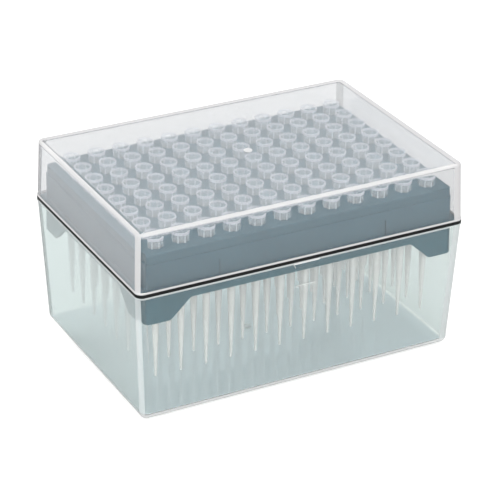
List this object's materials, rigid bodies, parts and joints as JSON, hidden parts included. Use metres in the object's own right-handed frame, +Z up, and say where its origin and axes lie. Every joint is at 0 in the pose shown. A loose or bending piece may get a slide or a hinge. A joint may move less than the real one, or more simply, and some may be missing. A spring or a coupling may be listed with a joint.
{
  "type": "box of pipette tips",
  "caption": "Clear hinged box with a blue-grey rack that holds ribbed pipette tips upright on a regular grid, sealed by a black ring at the seam.",
  "frame": {"origin": "middle of the underside", "axes": "+X along the long side, +Z up, the front with the catch tab faces -Y and the hinge is at +Y"},
  "size_m": [0.119, 0.0868, 0.0675],
  "materials": {
    "base_plastic": "clear, slightly green moulded polypropylene",
    "seal_rubber": "black moulded rubber",
    "rack_plastic": "blue-grey moulded polypropylene, fine satin",
    "lid_plastic": "clear moulded polypropylene with a slight haze",
    "tip_plastic": "natural translucent polypropylene"
  },
  "bodies": {
    "box": {"base": "base_plastic", "rim_seal": "seal_rubber", "tip_rack": "rack_plastic", "tips_column_01": "tip_plastic", "tips_column_02": "tip_plastic", "tips_column_03": "tip_plastic", "tips_column_04": "tip_plastic", "tips_column_05": "tip_plastic", "tips_column_06": "tip_plastic", "tips_column_07": "tip_plastic", "tips_column_08": "tip_plastic", "tips_column_09": "tip_plastic", "tips_column_10": "tip_plastic", "tips_column_11": "tip_plastic", "tips_column_12": "tip_plastic"},
    "lid": {"lid": "lid_plastic"}
  },
  "joints": [
    {"name": "lid_hinge", "type": "hinge", "parent": "box", "child": "lid", "pos_m": [0, 0.04344, 0.04485], "axis": [-1, 0, 0], "range_deg": [0, 110]}
  ]
}
